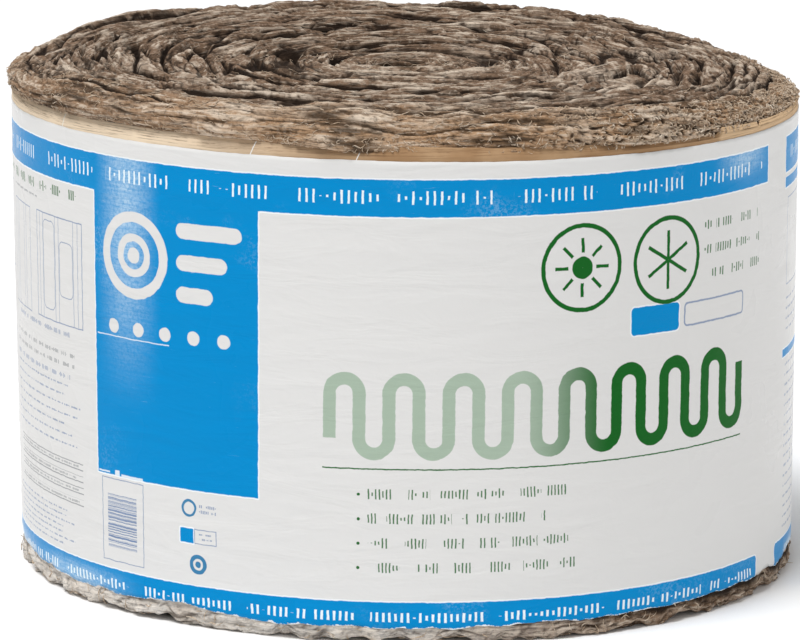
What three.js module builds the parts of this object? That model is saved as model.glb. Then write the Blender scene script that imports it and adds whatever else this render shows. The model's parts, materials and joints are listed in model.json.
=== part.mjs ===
// Roll of kraft-faced glass wool insulation, standing on its end.
//
// The blanket is wound tight from a small open centre, its outermost turn shows the kraft
// facing, and a printed film wrap holds the roll. Millimetres, +Z up, origin on the floor
// at the middle of the roll. Angles start at the front (-Y) and run towards +X.

import * as THREE from 'three';
import { mergeVertices } from 'three/addons/utils/BufferGeometryUtils.js';

// ---- Driving dimensions ----

const fitGap = 0.3;               // clearance between pieces that touch
const segments = 60;              // facets round the roll, shared by every piece

// Film wrap
const wrapRadius = 305;           // outside of the wrap
const wrapThickness = 0.6;
const wrapTop = 362;              // upper edge above the floor
const hemRadius = 20;             // lower edge, drawn in a little towards the floor
const hemAngle = 15;              // degrees that the lower edge turns in
const hemStart = 18;              // height at which the edge starts to turn in
const hemSteps = 2;

// Kraft facing, outermost turn
const facingThickness = 0.8;
const facingTop = 372;            // upper edge, above the wrap's
const tailAngle = 54;             // degrees round to the end of the outermost turn
const lapSteps = 2;               // facets by which the outermost turn laps over itself

// Glass wool winding
const boreRadius = 16;            // open centre of the roll
const turnPitch = 26;             // one thickness of the squeezed blanket
const rimHeight = 398.5;          // crest of the upper end, carried out to the rim
const dishDepth = 9;              // how much lower the crests are at the centre
const creaseDepth = 10;           // between the turns of the upper end
const footCreaseDepth = 8;        // between the turns of the lower end, pressed flatter
const shoulderWidth = 26;         // rounding of the outermost turn over the facing
const shoulderDrop = 20;
const mouthWidth = 14;            // rounding of the innermost turn into the open centre
const mouthDrop = 9;
const footMouthDrop = 5;
const footRounding = 10;          // rounding of the outermost turn down to the floor

// Sections across one turn, from crease to crease: place as a share of the turn, and how
// full the turn stands there.
const puffedTurn = [[0, 0], [0.25, 0.82], [0.5, 1], [0.75, 0.82]];
const pressedTurn = [[0, 0], [0.22, 1], [0.78, 1]];

// ---- Derived dimensions ----

const facetAngle = 2 * Math.PI / segments;
const tail = THREE.MathUtils.degToRad(tailAngle);
const hemSweep = THREE.MathUtils.degToRad(hemAngle);

const wrapInside = wrapRadius - wrapThickness;
const lapStep = facingThickness + fitGap;      // growth of the facing's radius in a turn
const lapShare = lapSteps / segments;
const facingOutside = wrapInside - fitGap;     // at the end of the outermost turn
const facingInside = facingOutside - facingThickness - lapStep * (1 + lapShare);
const facingBottom = hemStart + fitGap;
const woolSide = facingInside - fitGap;        // the winding inside the facing
const woolRim = wrapInside - fitGap;           // the winding above and below the facing

// ---- Materials ----

const woolMaterial = new THREE.MeshStandardMaterial({
  color: 0x7a6a5c,
  roughness: 1,
  metalness: 0,
});
const kraftMaterial = new THREE.MeshStandardMaterial({
  color: 0xc9a576,
  roughness: 0.85,
  metalness: 0,
});
const filmMaterial = new THREE.MeshStandardMaterial({
  color: 0xe2e1df,
  roughness: 0.3,
  metalness: 0,
});

// ---- Geometry helpers ----

// A point at a radius, an angle round the roll and a height.
function polar(radius, angle, height) {
  return new THREE.Vector3(radius * Math.sin(angle), -radius * Math.cos(angle), height);
}

// A point on the arc in which the wrap's lower edge turns in, at a depth inside the film's
// outer face.
function hemPoint(depth, angle) {
  const radius = hemRadius - depth;
  const x = wrapRadius - hemRadius + radius * Math.cos(angle);
  return new THREE.Vector2(x, hemStart - radius * Math.sin(angle));
}

function hemArc(depth) {
  const points = [];
  for (let i = 0; i <= hemSteps; i += 1) {
    points.push(hemPoint(depth, hemSweep * i / hemSteps));
  }
  return points;
}

// One closed skin over rows of points, which advance round the roll. Each row is a closed
// section, clockwise when its radius runs to the right and its height runs up. The last row
// either falls on the first one or ends in a cap, as the first row then does. Faces that
// have shrunk to a line are left out.
function skin(rows, capped) {
  const count = rows[0].length;
  const corners = [];
  for (let i = 0; i + 1 < rows.length; i += 1) {
    for (let j = 0; j < count; j += 1) {
      const k = (j + 1) % count;
      corners.push(rows[i][j], rows[i][k], rows[i + 1][k]);
      corners.push(rows[i][j], rows[i + 1][k], rows[i + 1][j]);
    }
  }
  if (capped) {
    const first = rows[0];
    const last = rows[rows.length - 1];
    for (let j = 1; j + 1 < count; j += 1) {
      corners.push(first[0], first[j + 1], first[j]);
      corners.push(last[0], last[j], last[j + 1]);
    }
  }
  const loose = new THREE.BufferGeometry().setFromPoints(corners);
  const merged = mergeVertices(loose, 1e-3);
  const index = merged.getIndex().array;
  const kept = [];
  for (let i = 0; i < index.length; i += 3) {
    const [a, b, c] = [index[i], index[i + 1], index[i + 2]];
    if (a !== b && b !== c && c !== a) {
      kept.push(a, b, c);
    }
  }
  merged.setIndex(kept);
  merged.computeVertexNormals();
  return merged;
}

function piece(name, geometry, material) {
  const mesh = new THREE.Mesh(geometry, material);
  mesh.name = name;
  return mesh;
}

// ---- Glass wool winding ----

// Drop of a rounded edge: none from a width inwards, the whole of it at the edge itself.
function rounding(distance, width, drop) {
  const share = THREE.MathUtils.clamp(1 - distance / width, 0, 1);
  return drop * (1 - Math.sqrt(1 - share * share));
}

// Radius and fullness of each point across one end, from the bore out to the rim. The
// creases follow a spiral: they start at the bore and move out by one turn in each round,
// and the last turn tapers away under the wrap.
function spiralPoints(turned, rim, section) {
  const turns = Math.max(2, Math.round((rim - boreRadius) / turnPitch));
  const pitch = (rim - boreRadius) / turns;
  const points = [];
  for (let turn = 0; turn <= turns; turn += 1) {
    const start = Math.max(0, turn - 1 + turned);
    const end = Math.min(turns, turn + turned);
    for (const [place, full] of section) {
      const radius = boreRadius + pitch * (start + (end - start) * place);
      const fade = Math.min(radius - boreRadius, rim - radius, pitch) / pitch;
      points.push({ radius, hollow: (1 - full) * fade });
    }
  }
  points.push({ radius: rim, hollow: 0 });
  return points;
}

// Upper end at one angle: turns that puff up, higher at the rim than at the centre.
function upperEnd(turned) {
  return spiralPoints(turned, woolRim, puffedTurn).map(({ radius, hollow }) => {
    const crest = rimHeight - dishDepth * (1 - (radius / woolRim) ** 2);
    const shoulder = rounding(woolRim - radius, shoulderWidth, shoulderDrop);
    const mouth = rounding(radius - boreRadius, mouthWidth, mouthDrop);
    const height = crest - Math.max(shoulder, mouth) - creaseDepth * hollow;
    return new THREE.Vector2(radius, height);
  });
}

// Lower end at one angle: turns pressed flat on the floor, with the creases above it.
function lowerEnd(turned) {
  const edge = hemPoint(wrapThickness + fitGap, hemSweep);
  return spiralPoints(turned, edge.x, pressedTurn).map(({ radius, hollow }) => {
    const side = rounding(edge.x - radius, footRounding, edge.y);
    const mouth = rounding(radius - boreRadius, mouthWidth, footMouthDrop);
    return new THREE.Vector2(radius, Math.max(side, mouth) + footCreaseDepth * hollow);
  });
}

// Outer side, from above down: over the facing's upper edge, behind the facing, out again
// below it, and along the inside of the wrap's lower edge.
function woolSidePoints() {
  const overFacing = facingTop + fitGap;
  const belowFacing = facingBottom - fitGap;
  return [
    new THREE.Vector2(woolRim, overFacing),
    new THREE.Vector2(woolSide, overFacing),
    new THREE.Vector2(woolSide, belowFacing),
    ...hemArc(wrapThickness + fitGap).slice(0, -1),
  ];
}

function windingGeometry() {
  const rows = [];
  const side = woolSidePoints();
  for (let i = 0; i <= segments; i += 1) {
    const turned = i / segments;
    const section = [...upperEnd(turned), ...side, ...lowerEnd(turned).reverse()];
    const angle = tail + i * facetAngle;
    rows.push(section.map((point) => polar(point.x, angle, point.y)));
  }
  return skin(rows, false);
}

// ---- Kraft facing ----

// The outermost turn of the facing: a strip whose radius grows by its own thickness and a
// gap in each round, so that its end laps over the turn below.
function facingGeometry() {
  const rows = [];
  const steps = segments + lapSteps;
  for (let i = 0; i <= steps; i += 1) {
    const angle = tail + (i - steps) * facetAngle;
    const inside = facingInside + lapStep * i / segments;
    const outside = inside + facingThickness;
    rows.push([
      polar(inside, angle, facingBottom),
      polar(inside, angle, facingTop),
      polar(outside, angle, facingTop),
      polar(outside, angle, facingBottom),
    ]);
  }
  return skin(rows, true);
}

// ---- Film wrap ----

function wrapGeometry() {
  const profile = [
    new THREE.Vector2(wrapInside, wrapTop),
    ...hemArc(wrapThickness),
    ...hemArc(0).reverse(),
    new THREE.Vector2(wrapRadius, wrapTop),
    new THREE.Vector2(wrapInside, wrapTop),
  ];
  const geometry = new THREE.LatheGeometry(profile, segments, tail, 2 * Math.PI);
  geometry.rotateX(Math.PI / 2);
  return geometry;
}

// ---- Roll ----

const roll = new THREE.Group();
roll.add(piece('wool_winding', windingGeometry(), woolMaterial));
roll.add(piece('kraft_facing', facingGeometry(), kraftMaterial));
roll.add(piece('printed_wrap', wrapGeometry(), filmMaterial));

export default roll;
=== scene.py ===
import json
import math
import random
from functools import reduce

import bmesh
import bpy
from mathutils import Matrix, Vector, noise

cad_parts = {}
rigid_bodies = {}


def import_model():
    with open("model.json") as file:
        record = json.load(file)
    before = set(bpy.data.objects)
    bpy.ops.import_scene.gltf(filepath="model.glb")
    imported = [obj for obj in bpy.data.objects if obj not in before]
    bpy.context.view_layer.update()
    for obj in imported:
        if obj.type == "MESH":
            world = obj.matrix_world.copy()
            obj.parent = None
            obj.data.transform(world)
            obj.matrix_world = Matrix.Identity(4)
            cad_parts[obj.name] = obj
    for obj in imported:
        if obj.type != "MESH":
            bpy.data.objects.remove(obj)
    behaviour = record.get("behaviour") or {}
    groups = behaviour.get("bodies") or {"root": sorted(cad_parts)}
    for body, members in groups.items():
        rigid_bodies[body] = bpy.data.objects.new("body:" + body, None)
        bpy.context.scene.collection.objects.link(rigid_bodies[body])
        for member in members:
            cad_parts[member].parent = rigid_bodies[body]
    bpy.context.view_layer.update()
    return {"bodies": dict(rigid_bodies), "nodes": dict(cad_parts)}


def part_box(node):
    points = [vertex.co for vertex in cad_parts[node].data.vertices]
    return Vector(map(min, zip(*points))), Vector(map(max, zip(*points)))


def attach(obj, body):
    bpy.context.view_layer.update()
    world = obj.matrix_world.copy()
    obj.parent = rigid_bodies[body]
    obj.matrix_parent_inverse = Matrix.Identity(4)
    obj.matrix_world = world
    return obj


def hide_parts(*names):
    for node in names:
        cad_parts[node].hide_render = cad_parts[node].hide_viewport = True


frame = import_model()
bodyName = list(frame["bodies"])[0]
print("frame loaded:", list(frame["nodes"]))

mm = 0.001  # user values below are in millimetres, and the scene is in metres

roll = {
    "wrapRadius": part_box("printed_wrap")[1][0] / mm,
    "wrapTop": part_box("printed_wrap")[1][2] / mm,
    "facingTop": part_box("kraft_facing")[1][2] / mm,
    "height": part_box("wool_winding")[1][2] / mm,
    "taper": 1.8,       # how far the top stands out and the foot stands in
    "lobe": 1.0,        # unevenness of the outline
    "lean": 5.2,        # how far the top stands to the left of the foot
    "tailAngle": 54,    # degrees from the front to the end of the outermost turn
}


def wobble(x, y, z, size, seed=0.0):
    # smooth noise from about -1 to 1, with features of the given size
    return noise.noise((x / size + seed, y / size + seed * 0.7, z / size + seed * 1.3))


def folds(x, y, z, seed, octaves):
    # rounded billows with sharp creases between them, from 0 to about 1
    return noise.turbulence((x + seed, y - seed, z + seed * 0.5), octaves, True)


def smoothStep(low, high, value):
    share = min(1.0, max(0.0, (value - low) / (high - low)))
    return share * share * (3 - 2 * share)


def shapeRoll(point):
    # the whole roll is a little wider at the top and never quite round
    radius = math.hypot(point.x, point.y)
    if radius < 1e-6:
        return point
    share = min(1.0, radius / roll["wrapRadius"])
    rise = point.z / roll["height"] * 2 - 1
    out = roll["taper"] * rise
    out += roll["lobe"] * wobble(point.x / radius, point.y / radius, rise * 0.35, 0.8, 4.2)
    grow = 1 + out * share / radius
    return Vector((point.x * grow - roll["lean"] * rise / 2, point.y * grow, point.z))


def linkObject(name, data):
    thing = bpy.data.objects.new(name, data)
    bpy.context.scene.collection.objects.link(thing)
    return thing


def ridePiece(name, mesh, material):
    # an object at the origin that moves with the roll
    mesh.materials.append(material)
    mesh.shade_smooth()
    piece = linkObject(name, mesh)
    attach(piece, bodyName)
    print(name, len(mesh.polygons), "faces")
    return piece


def finishPiece(name, bm, material, nodeName):
    # millimetres to metres, then a piece that stands for a node
    bmesh.ops.scale(bm, vec=(mm, mm, mm), verts=bm.verts)
    mesh = bpy.data.meshes.new(name)
    bm.to_mesh(mesh)
    bm.free()
    piece = ridePiece(name, mesh, material)
    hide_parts(nodeName)
    return piece


def spunSkin(points, steps, rowHeight):
    # a closed profile of (radius, height) corners, cut into rows and spun round the axis
    bm = bmesh.new()
    corners = [bm.verts.new((0, -radius, height)) for radius, height in points]
    for a, b in zip(corners, corners[1:] + corners[:1]):
        bm.edges.new((a, b))
    for edge in list(bm.edges):
        cuts = int(edge.calc_length() / rowHeight)
        if cuts > 0:
            bmesh.ops.subdivide_edges(bm, edges=[edge], cuts=cuts)
    bmesh.ops.spin(
        bm, geom=bm.verts[:] + bm.edges[:], cent=(0, 0, 0), axis=(0, 0, 1),
        angle=2 * math.pi, steps=steps, use_merge=True,
    )
    bmesh.ops.remove_doubles(bm, verts=bm.verts, dist=1e-3)
    bmesh.ops.recalc_face_normals(bm, faces=bm.faces)
    return bm


def put(socket, value):
    if isinstance(value, bpy.types.NodeSocket):
        socket.id_data.links.new(value, socket)
    else:
        socket.default_value = value


def nodeFor(kind, *values):
    # a new node in the tree that the given sockets belong to
    tree = next(value.id_data for value in values if isinstance(value, bpy.types.NodeSocket))
    return tree.nodes.new(kind)


def calc(operation, *values):
    node = nodeFor("ShaderNodeMath", *values)
    node.operation = operation
    for socket, value in zip(node.inputs, values):
        put(socket, value)
    return node.outputs[0]


def plus(a, b):
    return calc("ADD", a, b)


def minus(a, b):
    return calc("SUBTRACT", a, b)


def times(*values):
    return reduce(lambda a, b: calc("MULTIPLY", a, b), values)


def most(*values):
    return reduce(lambda a, b: calc("MAXIMUM", a, b), values)


def apart(a, b):
    # how far one value is from another
    return calc("ABSOLUTE", minus(a, b))


def hypotenuse(a, b):
    return calc("SQRT", calc("MULTIPLY_ADD", a, a, times(b, b)))


def ramp(value, fromMin, fromMax, toMin=0.0, toMax=1.0):
    node = nodeFor("ShaderNodeMapRange", value)
    node.interpolation_type = "SMOOTHSTEP"
    for title, setting in (
        ("Value", value), ("From Min", fromMin), ("From Max", fromMax),
        ("To Min", toMin), ("To Max", toMax),
    ):
        put(node.inputs[title], setting)
    return node.outputs[0]


def mixColour(share, under, over):
    node = nodeFor("ShaderNodeMix", share)
    node.data_type = "RGBA"
    put(node.inputs[0], share)
    put(node.inputs[6], under)
    put(node.inputs[7], over)
    return node.outputs[2]


def paint(look, coats):
    # coats of colour over the body, each with its own share
    colour = look["body"]
    for share, tint in coats:
        colour = mixColour(share, colour, look[tint])
    return colour


def noiseNode(place, scale, detail=2.0, roughness=0.5, distortion=0.0):
    node = nodeFor("ShaderNodeTexNoise", place)
    for title, setting in (
        ("Vector", place), ("Scale", scale), ("Detail", detail), ("Roughness", roughness),
        ("Distortion", distortion),
    ):
        put(node.inputs[title], setting)
    return node.outputs[0]


def joinVector(x, y, z):
    node = nodeFor("ShaderNodeCombineXYZ", x, y, z)
    put(node.inputs[0], x)
    put(node.inputs[1], y)
    put(node.inputs[2], z)
    return node.outputs[0]


def splitVector(vector):
    node = nodeFor("ShaderNodeSeparateXYZ", vector)
    put(node.inputs[0], vector)
    return node.outputs


def openGroup(name, inputs, outputs):
    # a node group whose outputs are all plain values
    tree = bpy.data.node_groups.new(name, "ShaderNodeTree")
    for title, value in inputs.items():
        kind = "NodeSocketVector" if isinstance(value, tuple) else "NodeSocketFloat"
        socket = tree.interface.new_socket(name=title, in_out="INPUT", socket_type=kind)
        socket.default_value = value
    for title in outputs:
        tree.interface.new_socket(name=title, in_out="OUTPUT", socket_type="NodeSocketFloat")
    return tree, tree.nodes.new("NodeGroupInput").outputs, tree.nodes.new("NodeGroupOutput").inputs


def closeGroup(tree, result, *values):
    for socket, value in zip(result, values):
        put(socket, value)
    return tree


def useGroup(group, *values):
    # a group's inputs take the values in their own order, and the rest keep their defaults
    node = nodeFor("ShaderNodeGroup", *values)
    node.node_tree = group
    for socket, value in zip(node.inputs, values):
        put(socket, value)
    return node.outputs


def newMaterial(name, roughness, gloss):
    material = bpy.data.materials.new(name)
    material.use_nodes = True
    tree = material.node_tree
    shader = tree.nodes["Principled BSDF"]
    shader.inputs["Roughness"].default_value = roughness
    shader.inputs["Specular IOR Level"].default_value = gloss
    place = tree.nodes.new("ShaderNodeTexCoord").outputs["Object"]
    return material, tree, shader, place


def coverShader(shader, colour, relief, strength, depth):
    # the colour and the bump of a finished material
    put(shader.inputs["Base Color"], colour)
    node = nodeFor("ShaderNodeBump", relief)
    node.inputs["Strength"].default_value = strength
    node.inputs["Distance"].default_value = depth
    put(node.inputs["Height"], relief)
    put(shader.inputs["Normal"], node.outputs[0])


def makePrintPlace():
    # arc length from the front and height in millimetres, with the print repeated round the roll
    tree, given, result = openGroup(
        "printPlace",
        {"Place": (0.0, 0.0, 0.0), "Repeat": 1000.0, "Start": 0.0, "Radius": roll["wrapRadius"]},
        ("Along", "Height"),
    )
    x, y, z = splitVector(given["Place"])
    angle = calc("ARCTAN2", x, times(y, -1))
    arc = calc("MULTIPLY_ADD", angle, given["Radius"], times(given["Start"], -1))
    wrapped = calc("FLOORED_MODULO", arc, given["Repeat"])
    return closeGroup(tree, result, plus(wrapped, given["Start"]), times(z, 1 / mm))


printPlace = makePrintPlace()


# what the wool mesh carries from vertex to vertex: painted shade in the creases, paleness with painted
# highlight on the crests, tan and dust
woolLayers = ("crease", "pale", "rim", "dust")

woolLook = {
    "body": (0.225, 0.144, 0.093, 1),      # grey brown of the blanket
    "pale": (0.800, 0.680, 0.550, 1),      # tufts, and painted highlight on the crests
    "tan": (0.480, 0.295, 0.165, 1),       # outermost turn
    "paintedShade": (0.018, 0.010, 0.006, 1),      # painted shade at the bottom of the creases
    "dust": (0.820, 0.775, 0.715, 1),      # dusty foot
    "patch": 20,                           # patches to the metre
}

curlLook = {
    "body": (0.580, 0.440, 0.310, 1),      # loose curls catch more light
    "pale": (0.920, 0.830, 0.710, 1),
    "tan": (0.640, 0.450, 0.280, 1),
    "paintedShade": (0.090, 0.055, 0.033, 1),
    "dust": (0.560, 0.500, 0.440, 1),
    "patch": 120,
}


def attributeValue(tree, name):
    node = tree.nodes.new("ShaderNodeAttribute")
    node.attribute_name = name
    return node.outputs["Fac"]


def makeWoolGrain():
    # fibres run round the roll: long along the turns, short across them and upwards
    tree, given, result = openGroup(
        "woolGrain", {"Place": (0.0, 0.0, 0.0), "Patch": 20.0}, ("Streaks", "Speckle", "Patches"),
    )
    x, y, z = splitVector(given["Place"])
    across = plus(times(hypotenuse(x, y), 150), times(z, 520))
    stretched = joinVector(times(x, 45), times(y, 45), across)
    return closeGroup(
        tree, result, noiseNode(stretched, 1.0, 4.0, 0.6, 0.6),
        noiseNode(given["Place"], 300, 3.0, 0.6),
        noiseNode(given["Place"], given["Patch"], 3.0, 0.55, 0.6),
    )


woolGrain = makeWoolGrain()


def makeWoolMaterial(name, look):
    material, tree, shader, place = newMaterial(name, 0.95, 0.15)
    streaks, speckle, patches = useGroup(woolGrain, place, look["patch"])
    crease, pale, rim, dust = [attributeValue(tree, layer) for layer in woolLayers]
    # the paintedShade coats are painted shade in the creases, the furrows and between the fibres; besides the
    # tufts, the pale attribute holds painted highlight on the crests
    colour = paint(look, (
        (times(rim, 0.85), "tan"),
        (times(dust, 0.85), "dust"),
        (ramp(patches, 0.48, 0.75, 0.0, 0.40), "pale"),
        (ramp(pale, 0.08, 0.85, 0.0, 0.68), "pale"),
        (ramp(streaks, 0.52, 0.66, 0.0, 0.58), "pale"),
        (ramp(streaks, 0.47, 0.35, 0.0, 0.62), "paintedShade"),
        (ramp(speckle, 0.54, 0.72, 0.0, 0.38), "pale"),
        (ramp(speckle, 0.46, 0.30, 0.0, 0.50), "paintedShade"),
        (times(dust, 0.45), "dust"),
        (ramp(crease, 0.10, 0.90, 0.0, 0.98), "paintedShade"),
    ))
    relief = calc("MULTIPLY_ADD", speckle, 0.6, streaks)
    coverShader(shader, colour, relief, 1.0, 0.0032)
    return material


winding = {
    "boreRadius": 16,
    "rimInset": 2.3,        # wool stands this far inside the wrap
    "pitch": 26,            # one turn of the squeezed blanket
    "row": 1.45,            # rows across the upper end
    "steps": 640,           # round the upper end
    "rimCrest": 398,
    "dish": 10,             # fall of the crests towards the centre
    "lowSide": 15,          # how much lower the rim is at the right
    "farLeft": 10,          # and how much the shoulder falls away at the far left
    "farRight": 5,
    "shoulderWidth": 24,
    "shoulderRun": 46,      # way along the slope over the shoulder
    "facingLevel": 366,     # where the wool comes out from behind the facing
    "leftLevel": 6.5,       # how much higher that is at the left
    "overhang": 2.0,        # how far the outermost turn bulges over the wrap
    "leftOverhang": 7.0,    # and how much further at the left
    "mouthWidth": 13,
    "mouthDrop": 10,
    "footInset": 1.8,       # the foot stands this far inside the wrap
    "footWidth": 9,         # rounding of the foot
    "footHeight": 17,
    "footRun": 24,          # way along the slope round the foot
    "footMouthWidth": 13,
    "footMouthDrop": 5,
    "footCrease": 8,        # depth of the creases between the pressed turns
    "soleRow": 6,           # a coarser grid under the roll, where nothing shows
    "soleSteps": 240,
    "soleInset": 12,        # where it ends, inside the rounding
    "soleGap": 1.5,
    "footRow": 1.8,
    "wander": 9,            # how far the creases stray from their spiral
    "puff": 13,             # depth of the crease between turns
    "ply": 7.5,             # creases inside a turn
    "swell": 4.0,           # slow rise and fall along a turn
    "step": 5.0,            # how far one turn stands above the next
    "fold": 7.5,            # long ropes
    "wrinkle": 2.4,         # short ropes
    "fibre": 0.8,
    "crumb": 2.5,           # fluff
    "ropeEdge": 0.34,       # how wide the furrows between ropes are, as a share of the noise
    # length along the turns and how it changes where the wool is lumpy, width across the turns
    # and how that changes there, and the seed of the noise
    "ropes": {
        "fold": (150, -85, 13, 6, 2.5), "wrinkle": (60, -32, 5.6, 2.4, 5.5),
        "fibre": (26, -11, 2.8, 0.6, 7.5),
    },
    # hollows in the upper end: place, half width and depth
    "pits": [
        (-93, 35, 15, 17), (-10, -28, 15, 12), (-120, 23, 10, 10), (-164, 46, 12, 11),
        (-176, -85, 9, 8), (-211, 54, 11, 10), (-69, 0, 9, 8), (-143, -138, 10, 7),
        (-271, 105, 10, 9), (-248, 79, 9, 8), (194, 55, 8, 7), (176, 91, 8, 7),
        (227, -64, 11, 9), (-34, 50, 9, 6), (40, 28, 9, 6),
    ],
    # pale tufts: place and half width
    "tufts": [
        (59, 184, 24), (-21, -90, 28), (-83, -231, 26), (72, -221, 30), (-42, -286, 28),
        (-265, -91, 18), (-229, 80, 18), (-121, -185, 20), (-126, -272, 18), (188, -232, 22),
        (257, -51, 18), (189, -76, 16), (100, 75, 18), (160, -138, 16), (20, -280, 24),
    ],
}

woolRim = roll["wrapRadius"] - winding["rimInset"]
woolFlat = woolRim - winding["boreRadius"] - winding["shoulderWidth"]
woolRun = woolFlat + winding["shoulderRun"]


def quarter(share):
    # drop of a quarter circle: 0 on its top and 1 at its side
    return 1 - math.sqrt(1 - min(1.0, max(0.0, share)) ** 2)


def upperProfile(run, x):
    # radius and height along the upper end, from the bore out and down over the shoulder
    radius = winding["boreRadius"] + min(run, woolFlat)
    share = max(0.0, run - woolFlat) / (woolRun - woolFlat)
    side = smoothStep(90, 300, x)
    radius += winding["shoulderWidth"] * math.sin(share * math.pi / 2)
    crest = winding["rimCrest"] - winding["dish"] * (1 - (radius / woolRim) ** 2)
    crest -= winding["lowSide"] * side + winding["farRight"] * smoothStep(245, 305, x)
    crest -= winding["farLeft"] * smoothStep(-225, -305, x)
    level = winding["facingLevel"] + winding["leftLevel"] * smoothStep(-20, -120, x)
    height = level + (crest - level) * math.cos(share * math.pi / 2)
    height -= winding["mouthDrop"] * quarter(1 - run / winding["mouthWidth"])
    bulge = winding["overhang"] * (1 - side) + winding["leftOverhang"] * smoothStep(-60, -260, x)
    return radius + bulge * math.sin(math.pi * share ** 1.15), height


def turnPlace(x, y, radius):
    # place across the turn from 0 to 1, and the number of turns along the blanket
    side = smoothStep(0.55, 0.9, abs(x) / radius)
    angle = math.atan2(x, -y) - math.radians(roll["tailAngle"])
    around = (angle / (2 * math.pi)) % 1.0
    stray = winding["wander"] * (wobble(x, y, 0, 120, 1.7) + (0.5 + 0.6 * side) * wobble(x, y, 0, 45, 8.3))
    turns = (radius + stray - winding["boreRadius"]) / winding["pitch"] - around
    whole = math.floor(turns)
    return turns - whole, whole + around


def groove(distance, width):
    # a crease with round lips: 0 outside its width and 1 at its bottom
    share = max(0.0, 1 - distance / width)
    return 0.4 * quarter(share) + 0.6 * share * share


def ropes(value):
    # height, and painted shade in the furrows, across ropes that meet wherever the noise passes through zero
    share = abs(value) / winding["ropeEdge"]
    return min(1.0, share) ** 0.6, smoothStep(0.30, 0.06, share)


def nearest(spots, x, y, radius):
    # how deep a point lies in one of the listed spots, which are drawn out along the turns
    best, chosen = 0.0, None
    for spot in spots:
        dx, dy = x - spot[0], y - spot[1]
        reach = 2.2 * spot[2]
        if abs(dx) < reach and abs(dy) < reach:
            across = (dx * x + dy * y) / radius
            along = (dx * y - dy * x) / radius
            share = 1 - math.hypot(across, along / 2.0) / spot[2]
            if share > best:
                best, chosen = share, spot
    return best, chosen


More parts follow.
